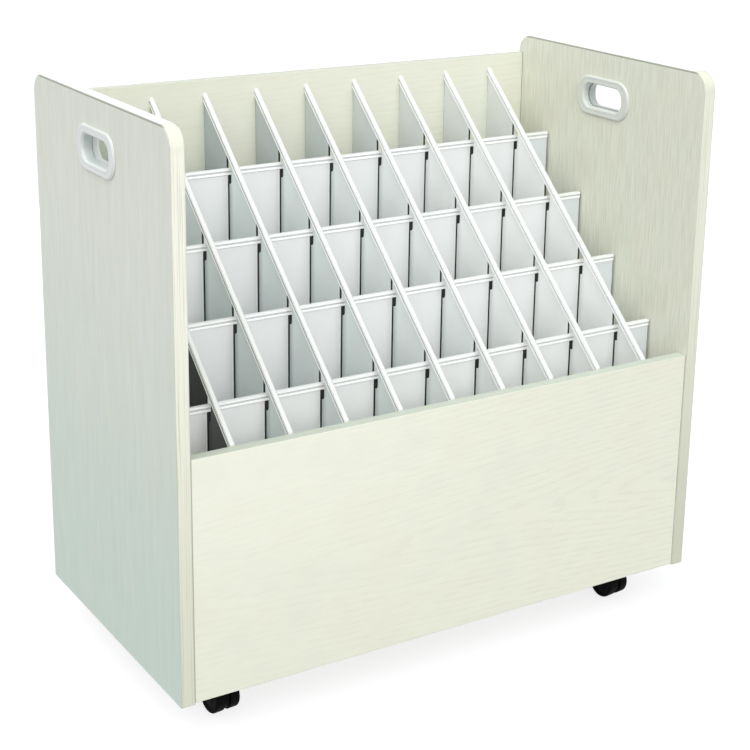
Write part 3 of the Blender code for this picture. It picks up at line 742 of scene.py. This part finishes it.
def edge_channels():
    tree = channel_pattern()
    outline = channel_outline()
    first = -4 * COLUMN_PITCH
    run = (0, GRID_BACK_Y - GRID_FRONT_Y, SLOPE * (GRID_BACK_Y - GRID_FRONT_Y))
    crest = slope_z(GRID_FRONT_Y)
    points = [(first + across, GRID_FRONT_Y, crest - below * SLOPE_STRETCH) for across, below in outline]
    mesh = tree.run(section_face(points, run), run=run, step=(COLUMN_PITCH, 0, 0), count=9, finish=SLOPING_CHANNEL)
    add_piece("sloping_edge_channels", settle(mesh), SLOPING_CHANNEL, "cabinet",
              [f"sloping_trim_{column}" for column in range(1, 10)])
    run = (2 * CROSS_END, 0, 0)
    crest = slope_z(BACK_ROW_Y) - CROSS_DROP
    points = [(-CROSS_END, BACK_ROW_Y + across, crest - below) for across, below in outline]
    step = (0, -ROW_PITCH, -ROW_PITCH * SLOPE)
    mesh = tree.run(section_face(points, run), run=run, step=step, count=4, finish=CROSS_CHANNEL)
    add_piece("cross_edge_channels", settle(mesh), CROSS_CHANNEL, "cabinet",
              [f"cross_trim_{row}" for row in range(1, 5)])


# ---------------------------------------------------------------- handle bezels

def handle_outline(out):
    """The handle hole in (Y, Z), moved out by a distance, a little more to its ends than up and down."""
    share = out / FLANGE_REACH
    corner = HOLE_CORNER + FLANGE_CORNER_GAIN * share
    reach_y = HOLE_WIDTH / 2 + out + FLANGE_STRETCH * share - corner
    reach_z = HOLE_HEIGHT / 2 + out - corner
    points = []
    for quarter, (u, v) in enumerate([(1, 1), (-1, 1), (-1, -1), (1, -1)]):
        start = quarter * math.pi / 2
        points += arc((HANDLE_Y + u * reach_y, HANDLE_Z + v * reach_z), corner, start, start + math.pi / 2, 18)
    return points


def smooth_line(points, steps, most):
    """A smooth line through points, whose second number never passes a limit."""
    found = []
    for index in range(len(points) - 1):
        p0, p1, p2, p3 = (Vector(points[min(max(index + shift, 0), len(points) - 1)]) for shift in (-1, 0, 1, 2))
        for step in range(steps):
            t = step / steps
            spot = 0.5 * (2 * p1 + (p2 - p0) * t + (2 * p0 - 5 * p1 + 4 * p2 - p3) * t * t
                          + (3 * p1 - p0 - 3 * p2 + p3) * t * t * t)
            found.append((spot[0], min(spot[1], most)))
    return found + [tuple(points[-1])]


def bezel(name, side, outside):
    """One half of a handle bezel: a dished flange on the panel's face and a sleeve in its hole."""
    sleeve = SLEEVE_RUN * (OUTER_SLEEVE_SHARE if outside else 1 - OUTER_SLEEVE_SHARE)
    draft = SLEEVE_DRAFT if outside else 0
    shares = [(0, 0), (0.05, 0.56), (0.19, 0.94), (0.50, 0.87), (0.80, 0.94), (0.94, 0.68), (1, 0.25)]
    rim = [(out * FLANGE_REACH, rise * FLANGE_RISE) for out, rise in smooth_line(shares, 5, 0.94)]
    profile = [(SLEEVE_WALL * 0.2 - draft, -sleeve), (-draft, -sleeve + SLEEVE_WALL * 0.2)] + rim
    profile += [(FLANGE_REACH, FIT_GAP), (SLEEVE_WALL, FIT_GAP), (SLEEVE_WALL - draft, -sleeve)]
    face = WIDTH / 2 if outside else INNER_HALF_WIDTH
    way = 1 if outside else -1
    loops = [[(side * (face + way * rise), y, z) for y, z in handle_outline(out)] for out, rise in profile]
    mesh = to_mesh(skin_over(loops, joined=True), name, None, 42)
    add_piece(name, mesh, BEZEL_WHITE, "cabinet", [name.replace("_ring", "_bezel")])


def handle_bezels():
    for label, side in (("left", -1), ("right", 1)):
        for half in ("outer", "inner"):
            bezel(f"{label}_{half}_handle_ring", side, half == "outer")


# ---------------------------------------------------------------- casters

def wheel_mesh(name, side, place):
    """A wheel: crowned tread with round shoulders, a dished face with a ring and a hub cap, a blind bore."""
    inner, outer, bore = WHEEL_INNER_X, WHEEL_OUTER_X, AXLE_RADIUS + FIT_GAP
    r = WHEEL_RADIUS
    points = [(inner + AXLE_ENTRY + FIT_GAP, bore), (inner, bore)]
    points += [(inner, r - 0.0012)] + arc((inner + 0.0010, r - 0.0010), 0.0010, math.pi, math.pi / 2, 5)
    points += arc((outer - 0.0020, r - 0.0020), 0.0020, math.pi / 2, 0, 8)
    face = [(0.875, 0.0), (0.865, 0.0004), (0.850, 0.0004), (0.840, 0.0), (0.800, 0.0), (0.780, 0.0003),
            (0.740, 0.0012), (0.720, 0.0013), (0.420, 0.0013), (0.400, 0.0012), (0.385, 0.0006), (0.370, 0.0003),
            (0.300, 0.0002), (0.120, 0.0001)]
    points += [(outer - dip, r * share) for share, dip in face]
    return to_mesh(turned([(side * along, radius) for along, radius in points], 72), name, place, 28)


def solid(data, name):
    """A shape for a cut or a join, as an object."""
    return add_object(name, to_mesh(data, name))


def block_x(outline, low, high):
    """A (Y, Z) outline pushed along X."""
    return skin_over([[(at, u, v) for u, v in outline] for at in (low, high)])


def disc_x(centre, radius, low, high, steps):
    """A round block about X at a (Y, Z) centre."""
    return block_x([(centre[0] + radius * math.cos(2 * math.pi * step / steps),
                     centre[1] + radius * math.sin(2 * math.pi * step / steps)) for step in range(steps)], low, high)


def upright_turned(profile, steps):
    """A profile of (height, radius) points turned about Z."""
    turns = [2 * math.pi * step / steps for step in range(steps)]
    return skin_over([[(radius * math.cos(turn), radius * math.sin(turn), height) for turn in turns]
                      for height, radius in profile])


def cut_and_join(base, moves, bevel):
    """Cut shapes from a solid or join them to it, in turn, and ease its edges."""
    for operation, other in moves:
        step = base.modifiers.new(other.name, "BOOLEAN")
        step.operation = operation
        step.object = other
        step.solver = "EXACT"
    ease = base.modifiers.new("eased_edges", "BEVEL")
    ease.width = bevel
    ease.segments = 2
    ease.limit_method = "ANGLE"
    ease.angle_limit = math.radians(38)
    mesh = bpy.data.meshes.new_from_object(base.evaluated_get(bpy.context.evaluated_depsgraph_get()))
    for other in [base] + [move[1] for move in moves]:
        bpy.data.objects.remove(other)
    return mesh


HUB = (-WHEEL_TRAIL, WHEEL_RADIUS)
PIVOT = (-WHEEL_TRAIL + PIVOT_RADIUS * math.cos(PIVOT_ANGLE), WHEEL_RADIUS + PIVOT_RADIUS * math.sin(PIVOT_ANGLE))


def housing_mesh(braked):
    """Hood, web and pin socket in one moulding, at the pin's foot, with ears for the pedal on a braked caster."""
    ease = BOSS_RADIUS / 8
    boss = upright_turned([(BOSS_DROP, BOSS_RADIUS - ease), (BOSS_DROP + ease, BOSS_RADIUS),
                           (HOUSING_TOP_Z - ease, BOSS_RADIUS), (HOUSING_TOP_Z, BOSS_RADIUS - ease)], 48)
    base = solid(boss, "boss")
    sweep = arc(HUB, HOOD_OUTER_RADIUS, HOOD_BACK_ANGLE, HOOD_FRONT_ANGLE, 44)
    hood = block_x(sweep, -HOOD_HALF_WIDTH, HOOD_HALF_WIDTH)
    moves = [("UNION", solid(hood, "hood"))]
    for side in (-1, 1):
        low, high = sorted((side * WEB_THICKNESS / 2, side * (HOOD_HALF_WIDTH + 0.002)))
        moves.append(("DIFFERENCE", solid(disc_x(HUB, HOOD_INNER_RADIUS, low, high, 80), f"wheel_space_{side}")))
    half = WEB_THICKNESS / 2 - FIT_GAP
    moves.append(("UNION", solid(disc_x(HUB, WEB_RADIUS, -half, half, 64), "web")))
    if braked:
        for side in (-1, 1):
            near = side * (PEDAL_WIDTH / 2 + FIT_GAP)
            low, high = sorted((near, near + side * EAR_THICKNESS))
            moves.append(("UNION", solid(disc_x(PIVOT, EAR_RADIUS, low, high, 32), f"ear_{side}")))
        eye = disc_x(PIVOT, STUB_RADIUS + FIT_GAP, -HOOD_HALF_WIDTH, HOOD_HALF_WIDTH, 20)
        moves.append(("DIFFERENCE", solid(eye, "pedal_eye")))
    bore = disc_x(HUB, AXLE_RADIUS + FIT_GAP, -WEB_THICKNESS, WEB_THICKNESS, 24)
    moves.append(("DIFFERENCE", solid(bore, "axle_bore")))
    socket = upright_turned([(HOUSING_TOP_Z - PIN_LENGTH - FIT_GAP, PIN_RADIUS + FIT_GAP),
                             (HOUSING_TOP_Z + 0.002, PIN_RADIUS + FIT_GAP)], 32)
    moves.append(("DIFFERENCE", solid(socket, "pin_socket")))
    return cut_and_join(base, moves, 0.00022)


def pedal_outline():
    """The brake pedal seen along its barrel, from the pivot: a barrel, a sloping plate and a shoe over the treads."""
    forward = Vector((-math.cos(PEDAL_DIP), -math.sin(PEDAL_DIP)))
    up = Vector((forward[1], -forward[0]))
    radial = Vector((math.cos(SHOE_ANGLE), math.sin(SHOE_ANGLE)))
    tangent = Vector((-radial[1], radial[0]))
    axle = -PIVOT_RADIUS * Vector((math.cos(PIVOT_ANGLE), math.sin(PIVOT_ANGLE)))
    top = BARREL_RADIUS
    low = BARREL_RADIUS - PEDAL_THICKNESS
    tip = PEDAL_THICKNESS / 3
    points = [forward * PEDAL_LENGTH + up * (top - tip), forward * (PEDAL_LENGTH - tip) + up * top]
    for turn in [BARREL_SWEEP * step / 18 for step in range(19)]:
        points.append((up * math.cos(turn) - forward * math.sin(turn)) * BARREL_RADIUS)
    sides = [axle + tangent * offset for offset in (-SHOE_THICKNESS / 2, SHOE_THICKNESS / 2)]
    roots = [side + radial * (low - side.dot(up)) / radial.dot(up) for side in sides]
    heels = [side + radial * (WHEEL_RADIUS + SHOE_GAP) for side in sides]
    points += [roots[0], heels[0], heels[1], roots[1]]
    points += [forward * (PEDAL_LENGTH - tip) + up * low, forward * PEDAL_LENGTH + up * (low + tip)]
    return [(PIVOT[0] + point[0], PIVOT[1] + point[1]) for point in points], forward, up


def rib_pattern():
    """A tree that lays round ribs side by side on a pedal."""
    tree = Pattern("pedal_ribs", step="vector", count="count", length="number", radius="number", finish="finish")
    rank = tree.node("GeometryNodeMeshLine", {"mode": "OFFSET"},
                     {"Count": tree.given["count"], "Start Location": (0, 0, 0), "Offset": tree.given["step"]})
    ranks = tree.node("GeometryNodeRealizeInstances", None, {"Geometry": tree.node(
        "GeometryNodeInstanceOnPoints", None, {"Points": tree.given["Geometry"], "Instance": rank}, out="Instances")})
    rib = tree.node("GeometryNodeMeshCylinder", {"fill_type": "NGON"},
                    {"Vertices": 12, "Side Segments": 1, "Radius": tree.given["radius"], "Depth": tree.given["length"]},
                    out="Mesh")
    tree.end(tree.node("GeometryNodeInstanceOnPoints", None,
                       {"Points": ranks, "Instance": rib, "Rotation": (0, math.pi / 2, 0)}, out="Instances"))
    return tree


def pedal_mesh(ribs):
    """The brake pedal with its stubs and grip ribs, at the pin's foot."""
    outline, forward, up = pedal_outline()
    base = solid(block_x(outline, -PEDAL_WIDTH / 2, PEDAL_WIDTH / 2), "pedal")
    reach = PEDAL_WIDTH / 2 + FIT_GAP + EAR_THICKNESS
    stubs = solid(disc_x(PIVOT, STUB_RADIUS, -reach, reach, 20), "stubs")
    mesh = cut_and_join(base, [("UNION", stubs)], 0.0003)
    start = Vector(PIVOT) + forward * 0.0085 + up * (BARREL_RADIUS - 0.00005)
    point = bpy.data.meshes.new("first_rib")
    point.from_pydata([(0, start[0], start[1])], [], [])
    step = forward * 0.0024
    grip = ribs.run(point, step=(0, step[0], step[1]), count=5, length=PEDAL_WIDTH * 0.80, radius=0.0004,
                    finish=BLACK_MOULDING)
    data = bmesh.new()
    data.from_mesh(mesh)
    data.from_mesh(grip)
    return to_mesh(data, "pedal", None, 35)


def screw_pattern():
    """A tree that puts four pan-head screws, each with a cross recess, in the corners of every plate."""
    tree = Pattern("plate_screws", spacing="number", head_radius="number", head_height="number",
                   recess_width="number", recess_depth="number", seed="count", finish="finish")
    given = tree.given
    corners = tree.node("GeometryNodeMeshGrid", None,
                        {"Size X": given["spacing"], "Size Y": given["spacing"], "Vertices X": 2, "Vertices Y": 2},
                        out="Mesh")
    spots = tree.node("GeometryNodeRealizeInstances", None, {"Geometry": tree.node(
        "GeometryNodeInstanceOnPoints", None, {"Points": given["Geometry"], "Instance": corners}, out="Instances")})
    down = tree.node("ShaderNodeCombineXYZ", None, {2: given["head_height"] * -0.5})
    stem = tree.node("GeometryNodeMeshCylinder", {"fill_type": "NGON"},
                     {"Vertices": 28, "Side Segments": 1, "Radius": given["head_radius"],
                      "Depth": given["head_height"]}, out="Mesh")
    stem = tree.node("GeometryNodeTransform", None, {"Geometry": stem, "Translation": down})
    lift = tree.node("ShaderNodeCombineXYZ", None, {2: given["head_radius"] * 1.5 - given["head_height"]})
    ball = tree.node("GeometryNodeMeshUVSphere", None,
                     {"Segments": 28, "Rings": 24, "Radius": given["head_radius"] * 1.5}, out="Mesh")
    ball = tree.node("GeometryNodeTransform", None, {"Geometry": ball, "Translation": lift})
    head = tree.node("GeometryNodeMeshBoolean", {"operation": "INTERSECT", "solver": "EXACT"}, {1: [stem, ball]},
                     out="Mesh")
    arms = []
    for wide, narrow in ((1, 0), (0, 1)):
        length = given["head_radius"] * 1.1
        size = tree.node("ShaderNodeCombineXYZ", None, {
            0: length if wide else given["recess_width"], 1: length if narrow else given["recess_width"],
            2: given["recess_depth"] * 2})
        arm = tree.node("GeometryNodeMeshCube", None, {"Size": size, "Vertices X": 2, "Vertices Y": 2, "Vertices Z": 2},
                        out="Mesh")
        low = tree.node("ShaderNodeCombineXYZ", None, {2: given["head_height"] * -1})
        arms.append(tree.node("GeometryNodeTransform", None, {"Geometry": arm, "Translation": low}))
    head = tree.node("GeometryNodeMeshBoolean", {"operation": "DIFFERENCE", "solver": "EXACT"},
                     {0: head, 1: arms}, out="Mesh")
    turn = tree.node("FunctionNodeRandomValue", {"data_type": "FLOAT_VECTOR"},
                     {"Min": (0, 0, 0), "Max": (0, 0, math.pi), "Seed": given["seed"]}, out="Value")
    tree.end(tree.node("GeometryNodeInstanceOnPoints", None, {"Points": spots, "Instance": head, "Rotation": turn},
                       out="Instances"))
    return tree


def copy_at(mesh, name, place):
    """A copy of a finished mesh at its place."""
    made = mesh.copy()
    made.name = name
    made.transform(place)
    return made


def casters():
    ribs = rib_pattern()
    pedal = pedal_mesh(ribs)
    housings = {braked: settle(housing_mesh(braked), 32) for braked in (False, True)}
    for name, x, y, heading, braked in CASTERS:
        pin = Matrix.Translation((x, y, 0)) @ Matrix.Rotation(heading, 4, "Z")
        hood = copy_at(housings[braked], f"{name}_caster_hood", pin)
        add_piece(f"{name}_caster_hood", hood, BLACK_MOULDING, f"{name}_swivel",
                  [f"{name}_caster_housing"])
        hub = pin @ Matrix.Translation((0, HUB[0], HUB[1]))
        for label, side in (("left", -1), ("right", 1)):
            wheel = wheel_mesh("wheel", side, hub)
            add_piece(f"{name}_caster_tread_{label}", wheel, BLACK_WHEEL, f"{name}_wheel_{label}",
                      [f"{name}_caster_wheel_{label}"])
        if braked:
            lever = copy_at(pedal, f"{name}_brake_lever", pin)
            add_piece(f"{name}_brake_lever", lever, BLACK_MOULDING, f"{name}_brake",
                      [f"{name}_brake_pedal"])
    spots = bpy.data.meshes.new("pins")
    spots.from_pydata([(x, y, PLATE_BOTTOM_Z) for _, x, y, _, _ in CASTERS], [], [])
    screws = screw_pattern().run(spots, spacing=PLATE_HOLE_SPACING, head_radius=0.0036, head_height=0.0017,
                                 recess_width=0.0009, recess_depth=0.0010, seed=4, finish=ZINC_STEEL)
    add_piece("caster_plate_screws", settle(screws, 32), ZINC_STEEL, "cabinet", [])


# ---------------------------------------------------------------- carried solids

def coat_carried_nodes():
    """Give each solid that stays its own finish."""
    for name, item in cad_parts.items():
        if name.endswith("side_panel"):
            coat = UPRIGHT_LAMINATE
        elif name in ("front_panel", "back_panel", "bottom_panel"):
            coat = LEVEL_LAMINATE
        elif "divider" in name:
            coat = CROSS_BOARD if name.startswith("cross") else SLOPING_BOARD
        elif name.endswith(("caster_plate", "caster_axle")):
            coat = ZINC_STEEL
        else:
            continue
        for place in item.material_slots:
            place.material = coat


# ---------------------------------------------------------------- studio

FLOOR_GREY = (0.40, 0.40, 0.41)
FLOOR_GLOW = 3.86
FLOOR_GLOW_SHARE = 0.2
SKY_COLOUR = (0.985, 1.0, 1.0)
SKY_STRENGTH = 0.548
LAMP_TARGET = Vector((0, 0, 0.45))


def floor():
    """A pale floor, white to the eye, that keeps the object's shadow."""
    data = bmesh.new()
    bmesh.ops.create_circle(data, cap_ends=True, radius=30, segments=96)
    mesh = bpy.data.meshes.new("floor")
    data.to_mesh(mesh)
    data.free()
    item = add_object("floor", mesh)
    paint = Finish("floor_paint", (0.80, 0.80, 0.80), 0.9)
    shadowed = paint.node("ShaderNodeBsdfDiffuse", None, {"Color": (*FLOOR_GREY, 1)})
    glow = paint.node("ShaderNodeEmission", None, {"Color": (1, 1, 1, 1), "Strength": FLOOR_GLOW})
    seen = paint.seen_straight() * FLOOR_GLOW_SHARE
    blend = paint.node("ShaderNodeMixShader", None, {0: seen, 1: shadowed, 2: glow})
    paint.tree.links.new(blend.socket, paint.tree.nodes["Material Output"].inputs["Surface"])
    paint.tree.nodes.remove(paint.shader)
    mesh.materials.append(paint.material)


def sky():
    """Soft grey light from all round, on a white backdrop."""
    world = bpy.data.worlds.new("studio")
    bpy.context.scene.world = world
    world.use_nodes = True
    graph = Graph(world.node_tree)
    for node in list(world.node_tree.nodes):
        world.node_tree.nodes.remove(node)
    light = graph.node("ShaderNodeBackground", None, {"Color": (*SKY_COLOUR, 1), "Strength": SKY_STRENGTH})
    white = graph.node("ShaderNodeBackground", None, {"Color": (1, 1, 1, 1), "Strength": 1.0})
    blend = graph.node("ShaderNodeMixShader", None, {0: graph.seen_straight(), 1: light, 2: white})
    graph.tree.links.new(blend.socket, graph.tree.nodes.new("ShaderNodeOutputWorld").inputs["Surface"])


def lamp(name, azimuth, elevation, strength, spread, colour):
    """A broad soft lamp, from an azimuth off the front towards the right, and an elevation, in degrees."""
    data = bpy.data.lights.new(name, "SUN")
    data.energy = strength
    data.angle = math.radians(spread)
    data.color = colour
    item = add_object(name, data)
    turn, rise = math.radians(azimuth), math.radians(elevation)
    to_lamp = Vector((math.sin(turn) * math.cos(rise), -math.cos(turn) * math.cos(rise), math.sin(rise)))
    item.rotation_euler = to_lamp.to_track_quat("Z", "Y").to_euler()
    item.location = to_lamp * 3


def soft_box(name, place, size, power):
    """A square lamp at a place, turned to the middle of the cabinet."""
    data = bpy.data.lights.new(name, "AREA")
    data.shape = "SQUARE"
    data.size = size
    data.energy = power
    item = add_object(name, data)
    item.location = place
    item.rotation_euler = (Vector(place) - LAMP_TARGET).to_track_quat("Z", "Y").to_euler()


def camera():
    """The photograph's view: from the front left, a little above."""
    data = bpy.data.cameras.new("camera")
    data.sensor_width = 36
    data.lens = 80.05
    data.shift_x = -0.0015
    data.shift_y = -0.13
    item = add_object("camera", data)
    azimuth, elevation, roll = math.radians(31.851), math.radians(16.452), math.radians(0.832)
    ahead = Vector((math.sin(azimuth) * math.cos(elevation), math.cos(azimuth) * math.cos(elevation),
                    -math.sin(elevation)))
    right = ahead.cross(Vector((0, 0, 1))).normalized()
    up = right.cross(ahead)
    right, up = (math.cos(roll) * right + math.sin(roll) * up, -math.sin(roll) * right + math.cos(roll) * up)
    turn = Matrix((right, up, -ahead)).transposed()
    item.matrix_world = Matrix.Translation((-1.1057, -1.7778, 1.0914)) @ turn.to_4x4()
    bpy.context.scene.camera = item


edge_channels()
handle_bezels()
casters()
coat_carried_nodes()
floor()
sky()
lamp("side_lamp", -75, 60, 1.40, 60, (0.975, 1.0, 0.995))
lamp("front_lamp", 0, 25, 0.705, 40, (1.0, 0.99, 0.97))
soft_box("front_soft_box", (-0.3, -2.2, 2.3), 1.2, 16.5)
soft_box("back_soft_box", (0.2, 2.4, 0.45), 1.2, 15.0)
camera()
bpy.context.scene.view_settings.view_transform = "Standard"
